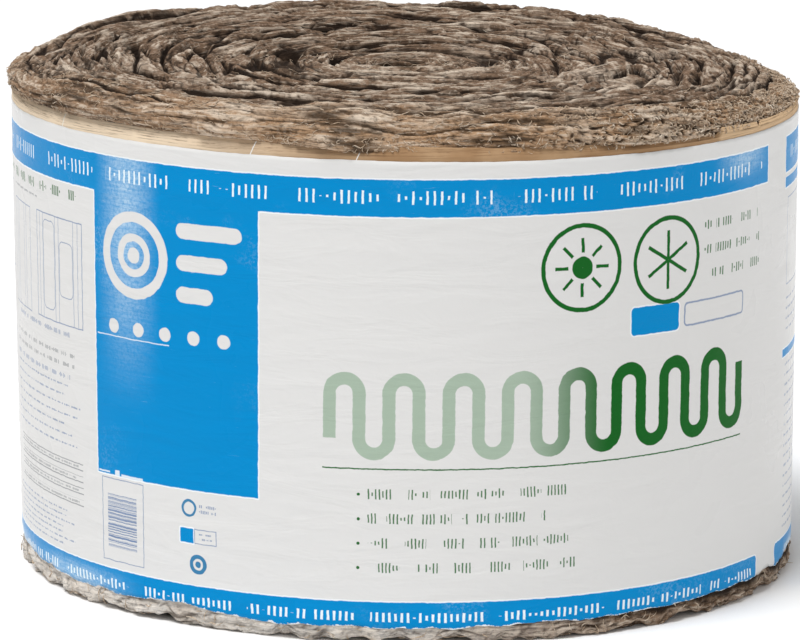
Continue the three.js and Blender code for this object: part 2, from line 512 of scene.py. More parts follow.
def upperRelief(x, y, run, radius):
    # lift along the slope, and the shares of painted shade in the creases, paleness with painted highlight on
    # the crests, tan and dust
    across, along = turnPlace(x, y, radius)
    whole = math.floor(along)
    fadeOut = smoothStep(2, 24, woolRun - run)
    fadeIn = smoothStep(0, 14, run)
    edge = 1 - smoothStep(16, 62, woolRun - run)
    # at both sides, and here and there between them, the ropes lie in short lumps
    lumpy = 0.5 * max(smoothStep(-30, -130, x), smoothStep(110, 190, x)) * smoothStep(272, 215, radius)
    lumpy = max(lumpy, 0.4 * smoothStep(0.0, 0.6, wobble(x, y, 0, 130, 21.3))) * smoothStep(-215, -130, y)
    # where the turns run towards the front they break up instead of lying as ribs
    broken = smoothStep(0.55, 0.9, abs(x) / radius) * smoothStep(290, 240, radius)
    warp = 8 + 12 * lumpy
    warpX = x + warp * wobble(x, y, 0, 34, 3.1)
    warpY = y + warp * wobble(x, y, 0, 34, 6.4)
    warpR = run + warp * 0.8 * wobble(x, y, 0, 55, 9.8) + 2.5 * wobble(x, y, 0, 18, 4.4)

    def drawnOut(length, width, seed):
        # noise stretched along the warped turns
        return wobble(warpX / length, warpY / length, warpR / width, 1, seed)

    def ropesOf(kind):
        length, longer, width, wider, seed = winding["ropes"][kind]
        return ropes(drawnOut(length + longer * lumpy, width + wider * lumpy, seed))

    lip = min(across, 1 - across) * winding["pitch"]
    gap = groove(lip, 4.6 + 3 * wobble(x, y, along * 60, 70, 3.9)) * fadeOut * fadeIn * (1 - 0.75 * edge)
    gap *= 1 - broken * smoothStep(-0.2, 0.3, wobble(x, y, along * 60, 32, 14.9)) * smoothStep(-240, 60, x)
    split = 0.36 + 0.14 * wobble(x, y, along * 40, 70, 5.2)
    other = 0.68 + 0.12 * wobble(x, y, along * 40, 55, 15.2)
    share = smoothStep(-0.25, 0.2, wobble(x, y, along * 50, 85, 11.2))
    ply = groove(abs(across - split) * winding["pitch"], 4.5) * share
    share = smoothStep(-0.2, 0.25, wobble(x, y, along * 50, 75, 17.7))
    ply = max(ply, groove(abs(across - other) * winding["pitch"], 4.0) * share) * fadeOut * fadeIn
    ply *= (1 - 0.8 * edge) * (1 - 0.8 * broken)
    left, crumbly = smoothStep(-60, -160, x), smoothStep(20, 160, x)
    step = winding["step"] * (1 + 0.25 * left)
    fold, foldShade = ropesOf("fold")
    wrinkle, wrinkleShade = ropesOf("wrinkle")
    fibre, fibreShade = ropesOf("fibre")
    crumb, crumbShade = ropes(wobble(x / 5.5, y / 5.5, run / 4.2, 1, 9.5))
    pit, hole = nearest(winding["pits"], x, y, radius)
    tuft = smoothStep(0.0, 0.7, nearest(winding["tufts"], x, y, radius)[0])
    height = -winding["puff"] * gap * (1 - 0.4 * left) - winding["ply"] * ply
    height += winding["swell"] * wobble(x, y, along * 60, 90, 2.2) * fadeIn
    height += step * wobble(whole * 7.7, 0, along * 25, 10, 6.6) * (1 - gap) * (1 - edge) * fadeIn
    height += winding["fold"] * (1 + 0.2 * lumpy) * (fold - 0.75) * (1 - 0.75 * edge)
    height += winding["wrinkle"] * (1 - 0.3 * lumpy) * (wrinkle - 0.75) * (1 - 0.3 * edge)
    height += winding["fibre"] * (fibre - 0.75) * (1 - 0.4 * lumpy)
    height += winding["crumb"] * (crumb - 0.7) * (0.1 + 1.1 * edge * (0.25 + 0.75 * crumbly))
    height += 2.5 * tuft + 3.0 * edge * fadeOut * wobble(x, y, 0, 42, 16.1)
    if hole:
        height -= hole[-1] * smoothStep(0.0, 0.6, pit)
    tone = 0.42 * fold + 0.33 * wrinkle + 0.25 * fibre
    # painted shade in the grooves between turns, the creases inside a turn, the pits and the furrows between
    # ropes, and wherever the ropes lie low
    paintedShade = max(smoothStep(0.04, 0.38, gap), smoothStep(0.05, 0.5, ply), smoothStep(0.1, 0.5, pit))
    paintedShade = max(paintedShade, foldShade * (0.90 - 0.50 * edge), wrinkleShade * (0.7 - 0.2 * edge), fibreShade * 0.35)
    paintedShade = max(paintedShade, crumbShade * edge * (0.25 + 0.65 * crumbly))
    paintedShade = max(paintedShade, 0.75 * smoothStep(0.78, 0.45, tone) * (1 - 0.1 * edge))
    pale = tuft * (0.65 + drawnOut(20, 4, 3.3))
    # painted highlight on the highest ropes
    pale = max(pale, smoothStep(0.84, 0.99, tone) * 0.7)
    pale = max(pale, edge * smoothStep(-0.1, 0.45, drawnOut(36, 6.5, 12.8)) * 0.42)
    tan = edge * (0.45 + 0.55 * smoothStep(-230, -120, x)) * smoothStep(200, -60, y)
    return height, paintedShade, min(1.0, max(0.0, pale)) * (1 - paintedShade), tan, 0.0


footRim = roll["wrapRadius"] - winding["footInset"]
footFlat = footRim - winding["boreRadius"] - winding["footWidth"]
footRun = footFlat + winding["footRun"]
soleRun = footFlat - winding["soleInset"]


def footProfile(run):
    # along the floor from the bore out, then round the foot and up behind the wrap
    share = max(0.0, run - footFlat) / (footRun - footFlat)
    radius = winding["boreRadius"] + min(run, footFlat)
    radius += winding["footWidth"] * math.sin(min(1.0, share * 1.6) * math.pi / 2)
    rise = winding["footHeight"] * (1 - math.cos(share * math.pi / 2))
    return radius, rise + winding["footMouthDrop"] * quarter(1 - run / winding["footMouthWidth"])


def footRelief(x, y, run, radius):
    # lift off the floor, push outwards, and the shares of painted shade, paleness, tan and dust
    across = turnPlace(x, y, radius)[0]
    edge = smoothStep(soleRun, footFlat + 6, run)
    right = smoothStep(60, 200, x)
    gap = groove(min(across, 1 - across) * winding["pitch"], 6) * (1 - edge)
    wrinkle, wrinkleShade = ropes(wobble(x / 34, y / 34, run / 4.5, 1, 3.5))
    fold, foldShade = ropes(wobble(x / 60, y / 60, run / 9, 1, 13.5))
    crumb, crumbShade = ropes(wobble(x / 7, y / 7, run / 5, 1, 23.5))
    lift = winding["footCrease"] * gap + 1.4 * (1 - wrinkle) * (1 - edge)
    lift += edge * (6.0 * smoothStep(-0.1, 0.5, wobble(x, y, 0, 26, 8.8)) + 4.0 * wobble(x, y, 0, 9, 18.8))
    bulge = 2.2 * (fold - 0.6) + 1.6 * (wrinkle - 0.7) + 2.4 * (crumb - 0.7)
    out = edge * (bulge + 2.2 * wobble(x, y, 0, 60, 1.9))
    out += edge * (3.0 + 1.6 * right) * wobble(x, y, run * 2, 14, 4.7)
    out = out * smoothStep(3, 13, footRun - run) - 0.6 * smoothStep(8, 3, footRun - run)
    # painted shade in the creases between turns and the furrows between ropes
    paintedShade = max(smoothStep(0.05, 0.5, gap), foldShade * 0.8, wrinkleShade * 0.6, crumbShade * 0.5)
    # painted shade under the lower edge of the wrap, deeper at the right
    paintedShade = max(paintedShade, edge * (0.35 + 0.6 * right) * smoothStep(7 + 4 * right, 1, footRun - run))
    dust = edge * smoothStep(170, -80, x) * (0.9 + 0.5 * wobble(x, y, run, 30, 6.1))
    pale = (0.30 + 0.5 * wobble(x, y, run, 12, 2.4)) * edge * (1 - paintedShade)
    return lift, out, paintedShade * (1 - 0.35 * dust), max(0.0, pale), 0.12 * edge, dust * (1 - 0.5 * paintedShade)


def rolledGrid(bm, start, end, row, steps):
    # a grid rolled into a flat ring, with its two ends joined at the back of the roll
    rows = round((end - start) / row)
    verts = bmesh.ops.create_grid(bm, x_segments=steps, y_segments=rows, size=0.5)["verts"]
    last = 0.49999  # only the verts at the grid's two ends lie past this
    firsts = {round(vert.co.y * rows * 2): vert for vert in verts if vert.co.x < -last}
    seam = {vert: firsts[round(vert.co.y * rows * 2)] for vert in verts if vert.co.x > last}
    for vert in verts:
        angle = vert.co.x * 2 * math.pi
        radius = start + (vert.co.y + 0.5) * (end - start)
        vert.co = (radius * math.sin(angle), -radius * math.cos(angle), 0)
    bmesh.ops.weld_verts(bm, targetmap=seam)
    return [vert for vert in verts if vert.is_valid]


def loopAt(verts, radius):
    # open edges of a flat ring at one of its radii
    edges = {edge for vert in verts for edge in vert.link_edges if edge.is_boundary}
    return [edge for edge in edges if abs(edge.verts[0].co.xy.length - radius) < 0.01]


def makeWool(material):
    bm = bmesh.new()
    layers = [bm.verts.layers.float.new(name) for name in woolLayers]
    bore, steps = winding["boreRadius"], winding["steps"]
    soleEnd = bore + soleRun
    footStart = soleEnd + winding["soleGap"]
    upper = rolledGrid(bm, bore, bore + woolRun, winding["row"], steps)
    sole = rolledGrid(bm, bore, soleEnd, winding["soleRow"], winding["soleSteps"])
    foot = rolledGrid(bm, footStart, bore + footRun, winding["footRow"], steps)
    joints = [
        loopAt(sole, soleEnd) + loopAt(foot, footStart),
        loopAt(upper, bore) + loopAt(sole, bore),
        loopAt(upper, bore + woolRun) + loopAt(foot, bore + footRun),
    ]
    for vert in upper:
        run = vert.co.xy.length - bore
        away = vert.co.xy.normalized()
        radius, height = upperProfile(run, away.x * (run + bore))
        before, after = [upperProfile(run + side, away.x * (run + bore)) for side in (-1, 1)]
        tilt = Vector((before[1] - after[1], after[0] - before[0])).normalized()
        rise, *shares = upperRelief(away.x * radius, away.y * radius, run, radius)
        settle = smoothStep(0.0, 2.2, woolRun - run)
        outward = max(bore - 3, radius + tilt.x * rise * settle)
        vert.co = (away.x * outward, away.y * outward, height + tilt.y * rise * settle)
        for layer, share in zip(layers, shares):
            vert[layer] = share
    for vert in sole + foot:
        run = vert.co.xy.length - bore
        away = vert.co.xy.normalized()
        radius, height = footProfile(run)
        lift, out, *shares = footRelief(away.x * radius, away.y * radius, run, radius)
        vert.co = (away.x * (radius + out), away.y * (radius + out), max(0.0, height + lift - 0.6))
        for layer, share in zip(layers, shares):
            vert[layer] = share
    for joint in joints:
        bmesh.ops.bridge_loops(bm, edges=joint)
    bmesh.ops.recalc_face_normals(bm, faces=bm.faces)
    for vert in bm.verts:
        vert.co = shapeRoll(vert.co)
    return finishPiece("glassWool", bm, material, "wool_winding")


fluff = {
    "seed": 7,
    "points": 6,
    # number, length, height, thickness and stray from the turns of each kind of curl
    "kinds": {
        "crumbs": (1300, (2, 6), (0.6, 2.0), (0.30, 0.75), 1.5),   # crumbly curls at the right
        "rim": (600, (4, 11), (0.2, 0.9), (0.20, 0.45), 0.6),      # flat wisps on the outermost turn
        "edge": (700, (3, 8), (0.4, 1.4), (0.22, 0.50), 1.5),      # hanging over the facing
        "foot": (260, (6, 16), (0.3, 1.0), (0.25, 0.55), 1.5),     # under the wrap
        "turns": (300, (9, 22), (0.3, 1.0), (0.18, 0.38), 0.22),   # long wisps along the turns
    },
    "footTop": 26,             # the foot's curls grow below this
    "edgeTop": 378,            # and those that hang over the facing below this
    "footInner": 0.289,        # from here out, in metres as the wool's mesh is
    "turnsOuter": 0.250,       # long wisps stay off the skyline at the back
    "crumbsFrom": (0.06, 0.24),
    "crumbsBack": 0.15,
    "rimBack": 0.12,
}


def makeCurl(curve, rng, spot, normal, size, spread):
    # one tapered wisp that rises from the wool and dips back into it
    lengths, heights, widths = size
    length, rise, width = rng.uniform(*lengths), rng.uniform(*heights), rng.uniform(*widths)
    around = Vector((-spot.y, spot.x, 0)).normalized()
    sideways = normal.cross(around).normalized()
    turn = rng.uniform(-spread, spread)
    ahead = around * math.cos(turn) + sideways * math.sin(turn)
    aside = normal.cross(ahead).normalized()
    bend, wave, phase = rng.uniform(-0.3, 0.3), rng.uniform(0.0, 0.12), rng.uniform(0, 6)
    spline = curve.splines.new("POLY")
    last = fluff["points"] - 1
    spline.points.add(last)
    for k, point in enumerate(spline.points):
        share = k / last
        out = length * (bend * math.sin(math.pi * share) + wave * math.sin(phase + 7 * share))
        up = rise * (math.sin(math.pi * share) - 0.35)
        place = spot + (ahead * length * (share - 0.5) + aside * out + normal * up) * mm
        point.co = (place.x, place.y, max(place.z, 2 * mm), 1)
        point.radius = width * (0.25 + 0.75 * math.sin(math.pi * min(1.0, share + 0.08)))


def makeFluff(name, wool, kinds, material):
    rng = random.Random(fluff["seed"])
    curve = bpy.data.curves.new(name, "CURVE")
    curve.dimensions = "3D"
    curve.bevel_depth = mm
    curve.bevel_resolution = 0
    curve.use_fill_caps = True
    rims = wool.data.attributes["rim"].data
    creases = wool.data.attributes["crease"].data
    spots = {kind: [] for kind in fluff["kinds"]}
    for vert, rim, crease in zip(wool.data.vertices, rims, creases):
        x, y, z = vert.co
        radius = vert.co.xy.length
        if z / mm < fluff["footTop"]:
            if radius > fluff["footInner"]:
                spots["foot"].append(vert)
        elif crease.value < 0.75:
            if rim.value < 0.15:
                if radius < fluff["turnsOuter"] or y < 0:
                    spots["turns"].append(vert)
            elif rim.value > 0.4 and x > rng.uniform(*fluff["crumbsFrom"]) and y < fluff["crumbsBack"]:
                spots["crumbs"].append(vert)
            elif y < fluff["rimBack"]:
                spots["rim"].append(vert)
            if z / mm < fluff["edgeTop"] and rim.value > 0.2:
                spots["edge"].append(vert)
    for kind in kinds:
        count, *size, spread = fluff["kinds"][kind]
        for vert in rng.sample(spots[kind], count):
            makeCurl(curve, rng, vert.co.copy(), vert.normal.copy(), size, spread)
    holder = linkObject(name, curve)
    graph = bpy.context.evaluated_depsgraph_get()
    mesh = bpy.data.meshes.new_from_object(holder.evaluated_get(graph))
    bpy.data.objects.remove(holder)
    mesh.name = name
    mesh.materials.clear()
    ridePiece(name, mesh, material)


woolMaterial = makeWoolMaterial("glassWool", woolLook)
curlMaterial = makeWoolMaterial("woolCurl", curlLook)
wool = makeWool(woolMaterial)
makeFluff("woolCurls", wool, ("crumbs", "rim", "edge", "foot"), curlMaterial)
makeFluff("woolWisps", wool, ("turns",), curlMaterial)


facing = {
    "inside": 302.6,
    "layers": (0.45, 0.45, 0.45),     # folded layers at the upper edge, from outside in
    "steps": (-3.6, -1.6, 0.0),       # upper edge of each layer, below the highest
    "bottom": 26.6,
    "turns": 620,
    "rowHeight": 60,
    "overWrap": 1.6,                  # shows at least this much above the wrap
    "tailLift": (263, 266, 1.1),      # the outermost turn's end stands off: from, to, how far
    "tailBack": (330, 420),           # and lies against the roll again
    # how high the edge stands: millimetres along it from the front, and above the floor
    "edge": [
        (-560, 371.5), (-330, 373.0), (-290, 374.0), (-241, 373.7), (-190, 372.6), (-132, 374.0),
        (-112, 372.0), (-64, 369.8), (-37, 369.6), (-5, 371.8), (113, 370.4), (181, 367.0),
        (241, 365.6), (264, 365.6), (267, 370.8), (315, 369.2), (388, 368.3), (560, 370.5),
    ],
    "notch": (321, 2.2, 5.0),         # place, half width and depth of a tear
    "folds": ((365.4, 0.45), (367.6, 0.70), (369.9, 0.60)),   # height and strength of the painted shade along their edges
    "slivers": (-304, -115, -35),     # places of thin strips of torn film
    "sliverSlope": 0.45,
    "sliverMiddle": 367,
}

kraftLook = {
    "body": (0.340, 0.200, 0.100, 1),
    "pale": (0.450, 0.290, 0.160, 1),
    "paintedSunlight": (0.920, 0.770, 0.580, 1),      # painted sunlight, paler towards the left
    # fibre grain, and painted shade along the edges of the folded layers
    "line": (0.130, 0.068, 0.032, 1),
    "lap": (0.620, 0.430, 0.255, 1),
    "sliver": (0.860, 0.860, 0.840, 1),    # torn film that clings to the paper
}


def alongRoll(x, y):
    # millimetres round the roll from the front
    return math.atan2(x, -y) * roll["wrapRadius"]


def tableAt(spots, along):
    # a value between the listed places, eased from one to the next
    for (start, low), (end, high) in zip(spots, spots[1:]):
        if start <= along < end:
            return low + (high - low) * smoothStep(start, end, along)
    return spots[0][1]


def makeKraftMaterial():
    material, tree, shader, place = newMaterial("kraftPaper", 0.82, 0.2)
    along, height = useGroup(printPlace, place, 2000.0, -1000.0)
    level = calc("MULTIPLY_ADD", minus(noiseNode(place, 7), 0.5), 2.4, height)
    long = joinVector(times(along, 0.016), times(level, 0.85), 0.0)
    fibres = noiseNode(long, 1.0, 3.0, 0.6)
    blotches = noiseNode(place, 30, 3.0, 0.55)
    breaks = noiseNode(joinVector(times(along, 0.055), height, 0.0), 1.0, 3.0, 0.75)
    coats = [
        (ramp(blotches, 0.35, 0.7), "pale"),
        # painted sunlight: paler towards the left
        (ramp(along, -10, -225, 0.0, 0.78), "paintedSunlight"),
        (ramp(along, 262, 268), "lap"),
        (ramp(fibres, 0.48, 0.30, 0.0, 0.55), "line"),
    ]
    for line, strength in facing["folds"]:
        # painted shade along the edges of the folded layers, which comes and goes
        near = ramp(apart(level, line), 0.70, 0.20)
        coats.append((times(near, ramp(breaks, 0.48, 0.60), strength), "line"))
    slope = facing["sliverSlope"]
    for middle in facing["slivers"]:
        leaning = calc("MULTIPLY_ADD", height, -slope, along)
        aside = apart(leaning, middle - slope * facing["sliverMiddle"])
        coats.append((ramp(aside, 0.65, 0.2, 0.0, 0.85), "sliver"))
    coverShader(shader, paint(kraftLook, coats), fibres, 0.6, 0.0008)
    return material


def makeFacing(material):
    inside = facing["inside"]
    outer = inside + sum(facing["layers"])
    points = [(inside, facing["bottom"]), (outer, facing["bottom"]), (outer, roll["wrapTop"] + 1.2)]
    radius = outer
    for depth, step in zip(facing["layers"], facing["steps"]):
        points.append((radius, roll["facingTop"] + step))
        radius -= depth
        points.append((max(radius, inside), roll["facingTop"] + step))
    bm = spunSkin(points, facing["turns"], facing["rowHeight"])
    middle, half, depth = facing["notch"]
    for vert in bm.verts:
        x, y, z = vert.co
        if z > roll["wrapTop"] + 2:
            along = alongRoll(x, y)
            vert.co.z += tableAt(facing["edge"], along) - roll["facingTop"]
            vert.co.z += 0.5 * wobble(x, y, z * 9, 60, 3.3) + 0.4 * wobble(x, y, z * 9, 9, 1.3)
            vert.co.z -= depth * smoothStep(half, 0, abs(along - middle))
            vert.co.z = max(vert.co.z, roll["wrapTop"] + facing["overWrap"])
            start, end, lift = facing["tailLift"]
            near, far = facing["tailBack"]
            lift *= smoothStep(start, end, along) * smoothStep(far, near, along)
            vert.co += Vector((x, y, 0)).normalized() * lift
        vert.co = shapeRoll(vert.co)
    return finishPiece("kraftFacing", bm, material, "kraft_facing")


kraftMaterial = makeKraftMaterial()
makeFacing(kraftMaterial)


film = {
    "thickness": 0.45,
    "inset": 0.5,           # of its outer face, inside the node's
    "turns": 620,
    "rowHeight": 3.0,
    "hemRadius": 20,
    "hemStart": 17.6,
    "hemAngle": 15,
    "wrinkle": 0.45,
    "sideLift": 5.5,        # the lower edge rides up at both sides
    # how the lower edge strays: millimetres along it from the front, and upwards
    "edge": [
        (-600, 0.0), (-340, -0.5), (-288, -1.8), (-250, 0.0), (-216, 0.5), (-188, 4.2), (-161, 3.2),
        (-110, -1.2), (-60, 0.0), (60, 0.0), (101, 2.0), (150, 0.5), (300, 0.2), (345, 0.0), (385, -2.5),
        (430, 0.0), (600, 0.0),
    ],
}

filmLook = {
    "body": (0.715, 0.708, 0.696, 1),
    "keyline": (0.860, 0.890, 0.900, 1),   # unprinted line round the blue
    "blue": (0.000, 0.246, 0.580, 1),
    "white": (0.800, 0.890, 0.920, 1),
    "green": (0.008, 0.120, 0.016, 1),
    "paleGreen": (0.375, 0.470, 0.375, 1),
    "thinBlue": (0.075, 0.165, 0.350, 1),
    "grey": (0.150, 0.165, 0.180, 1),
    "scuffAndSheen": (0.560, 0.720, 0.840, 1),     # rubbed print, and painted sheen
    "seal": (0.012, 0.180, 0.370, 1),
}

# the print repeats round the wrap; millimetres along it from the front, and above the floor
printing = {"repeat": 958, "start": -592}

# each part of the print has its own material. What it holds is in the order of its group's
# inputs: left, right, bottom, top, corner and stroke for bars and frames; middle, height, radius
# and stroke for rings; left, right, top, rows, pitch, cap, stroke, word, ragged and share for
# lines. Reach is left, right, bottom and top.
zones = {
    "filmBands": {
        "reach": [(-592, 366, 317, 400), (-592, 366, 0, 35)],
        "blue": [(-575, 339, 320.3, 347.8, 0), (-264, -111, 300, 324, 0), (-588, 331, 6, 32, 4)],
        # painted sheen: middle, half width, heights between which it fades in
        "paintedSheen": [(-229, 36, 150, 300), (300, 45, 325, 345), (-300, 90, 34, 20)],
        "whiteLines": [
            (-560, 330, 339.6, 1, 60, 10.0, 5.2, 82, 0, 0.15),
            (-560, 322, 24.2, 1, 60, 7.2, 4.6, 96, 0, 0.20),
        ],
    },
    "filmNotes": {
        "reach": [(-592, -268, 35, 317)],
        "blue": [(-575, -500, 308.5, 316.5, 0), (-575, -452, 176, 182, 0)],
        "thinFrames": [
            # two drawings of a stud wall with batts between the studs
            (-355, -281, 210, 291, 0, 0.9), (-349, -343, 210, 291, 0, 0.6), (-321, -315, 210, 291, 0, 0.6),
            (-293, -287, 210, 291, 0, 0.6), (-342, -322, 218, 286, 5, 0.7), (-314, -294, 231, 273, 5, 0.7),
            (-425, -372, 209, 290, 0, 0.8), (-415, -409, 209, 290, 0, 0.6), (-390, -384, 209, 290, 0, 0.6),
            (-566, -500, 232, 300, 0, 0.8), (-490, -440, 232, 300, 0, 0.8),
        ],
        "thinLines": [
            (-412, -300, 205, 1, 9, 3.6, 1.6, 34, 2, 0.3),
            (-425, -300, 172, 1, 9, 3.4, 1.6, 15, 2, 0.3),
            (-425, -285, 164, 7, 7.6, 1.4, 1.3, 11, 26, 0.42),
            (-425, -288, 66, 7, 4.5, 1.3, 1.3, 9, 30, 0.42),
            (-566, -452, 170, 17, 8.0, 1.8, 1.4, 13, 24, 0.42),
            (-566, -460, 222, 4, 8.0, 1.8, 1.4, 13, 24, 0.42),
        ],
        "greyLines": [
            (-425, -292, 189, 2, 8, 3.0, 1.6, 14, 20, 0.34),
            (-423, -352, 302, 1, 9, 1.6, 1.2, 14, 6, 0.4),
            (-416, -284, 106, 8, 4.6, 0.9, 400, 400, 0, 0.5),   # rules of the tables
            (-412, -290, 104, 4, 9.2, 1.6, 1.3, 30, 4, 0.34),
        ],
        "greenLines": [(-490, -282, 315, 1, 9, 7.5, 2.9, 24, 0, 0.28)],
    },
    "filmPanel": {
        "reach": [(-268, -104, 35, 317)],
        "blue": [(-264, -111, 105, 330, 0), (-178, -166, 64.5, 75.5, 0.5)],
        "paintedSheen": [(-229, 36, 150, 300)],
        "nicks": [(-262, -187, 211.6, 212.4, 0), (-263, -250, 106.0, 107.2, 0), (-244, -239, 105, 109, 0),
                  (-237, -214, 105.0, 106.8, 0)],
        "whiteBars": [(-180, -124, 294, 306, 6), (-180, -136, 270, 282, 6), (-180, -148, 246, 258, 6)],
        "whiteRings": [
            (-221, 276, 29, 8), (-221, 276, 13.5, 6), (-221, 276, 3, 6),
            *[(middle, 220, 2.7, 5.4) for middle in (-243, -217, -191, -165, -139)],
        ],
        "thinFrames": [(-259, -214, 38.5, 102, 0, 0.7), (-165, -146, 64.7, 75.3, 0, 0.7)],
        "code": [(-253, -221, 49, 90, 0)],
        "badge": [(-170, 91, 5.8, 2.0), (-162, 48.6, 6.0, 3.2), (-162, 48.6, 1.2, 2.4)],
        "thinLines": [
            (-161, -146, 94.5, 2, 4.2, 2.4, 1.5, 12, 1, 0.3), (-161, -148, 72.5, 2, 3.6, 1.3, 1.3, 8, 3, 0.4),
        ],
    },
    "filmUpper": {
        "reach": [(-104, 366, 216, 317)],
        "blue": [(176, 222, 224, 245, 3)],
        "thinFrames": [(228, 300, 226, 243, 3, 1.4)],
        "greenRings": [(133, 279, 31.5, 3.4), (210, 278, 31.5, 3.4), (133, 279, 4.2, 8.4)],
        # middle, height, arms, inner, outer, stroke
        "greenStars": [(133, 279, 8, 11.5, 22.0, 2.6), (210, 278, 6, 0.0, 22.0, 2.8)],
        "greenLines": [(248, 332, 303, 3, 18.5, 6.8, 3.1, 26, 20)],
    },
    "filmMiddle": {
        "reach": [(-104, 366, 121.5, 216)],
        # left, right, middle, height, period, stroke
        "wave": [(-56, 296, 172, 17, 44, 9.5)],
        "greenBars": [(-61, 300, 131.9, 132.9, 0)],
    },
    "filmLower": {
        "reach": [(-104, 366, 35, 121.5)],
        "greenRings": [(-34, height, 0.6, 1.2) for height in (113.2, 94.7, 76.2, 57.7)],
        "greenLines": [(-28, 188, 117.5, 4, 18.5, 7.6, 2.7, 28, 100, 0.2)],
    },
}


def openPrint(name, outputs=("Ink",), **settings):
    # a group for one kind of mark, which takes the place on the wrap first
    return openGroup(name, {"Along": 0.0, "Height": 0.0, **settings}, outputs)


def inkWithin(far, soft=0.3):
    # full ink inside a mark and none outside it, over a soft edge
    return ramp(far, soft, -soft)


def pastStroke(given, off):
    # how far a place lies outside the stroke that follows a line
    return calc("MULTIPLY_ADD", given["Stroke"], -0.5, off)


def makePrintBar():
    # a bar with round corners: filled, and drawn as an outline of the given stroke
    tree, given, result = openPrint(
        "printBar", ("Distance", "Ink", "Outline"),
        Left=0.0, Right=1.0, Bottom=0.0, Top=1.0, Corner=0.0, Stroke=1.0,
    )

    def reach(place, low, high):
        middle = times(plus(low, high), 0.5)
        half = times(minus(high, low), 0.5)
        return plus(minus(apart(place, middle), half), given["Corner"])

    a = reach(given["Along"], given["Left"], given["Right"])
    b = reach(given["Height"], given["Bottom"], given["Top"])
    corner = hypotenuse(most(a, 0), most(b, 0))
    inside = calc("MINIMUM", most(a, b), 0)
    distance = minus(plus(corner, inside), given["Corner"])
    line = pastStroke(given, calc("ABSOLUTE", distance))
    return closeGroup(tree, result, distance, inkWithin(distance), inkWithin(line))


def makePrintRing():
    # a ring, or a disc when the stroke is twice the radius
    tree, given, result = openPrint("printRing", X=0.0, Z=0.0, Radius=1.0, Stroke=1.0)
    a, b = minus(given["Along"], given["X"]), minus(given["Height"], given["Z"])
    off = apart(hypotenuse(a, b), given["Radius"])
    return closeGroup(tree, result, inkWithin(pastStroke(given, off)))


def makePrintStar():
    # straight arms round a centre, between two radii
    tree, given, result = openPrint("printStar", X=0.0, Z=0.0, Arms=6.0, Inner=0.0, Outer=1.0, Stroke=1.0)
    a, b = minus(given["Along"], given["X"]), minus(given["Height"], given["Z"])
    radius = hypotenuse(a, b)
    sector = calc("DIVIDE", 2 * math.pi, given["Arms"])
    half = times(sector, 0.5)
    turned = calc("FLOORED_MODULO", calc("ARCTAN2", a, b), sector)
    turned = minus(half, apart(turned, half))
    aside = times(radius, calc("SINE", turned))
    far = most(pastStroke(given, aside), minus(given["Inner"], radius), minus(radius, given["Outer"]))
    return closeGroup(tree, result, inkWithin(far))


def makePrintWave():
    # the looping line that stands for a batt: uprights joined by half circles
    tree, given, result = openPrint(
        "printWave", Left=0.0, Right=1.0, Middle=0.0, Rise=1.0, Period=1.0, Stroke=1.0,
    )
    half = times(given["Period"], 0.5)
    cells = calc("DIVIDE", minus(given["Along"], given["Left"]), half)
    cell = calc("FLOOR", cells)
    aside = times(apart(minus(cells, cell), 0.5), half)
    odd = calc("FLOORED_MODULO", cell, 2.0)
    level = minus(given["Height"], given["Middle"])
    up = times(level, calc("MULTIPLY_ADD", odd, -2.0, 1.0))
    above = calc("GREATER_THAN", up, 0.0)
    other = minus(half, aside)
    across = calc("MULTIPLY_ADD", above, minus(aside, other), other)
    past = most(minus(calc("ABSOLUTE", up), given["Rise"]), 0.0)
    off = apart(hypotenuse(across, past), times(half, 0.5))
    far = pastStroke(given, off)
    # it ends on whole uprights, cut square where the next bend would start
    for end, side in (("Left", -1.0), ("Right", 1.0)):
        beyond = times(minus(given["Along"], given[end]), side)
        past = minus(times(level, side), given["Rise"])
        bend = calc("MINIMUM", plus(beyond, given["Stroke"]), past)
        far = most(far, pastStroke(given, beyond), bend)
    return closeGroup(tree, result, inkWithin(far))


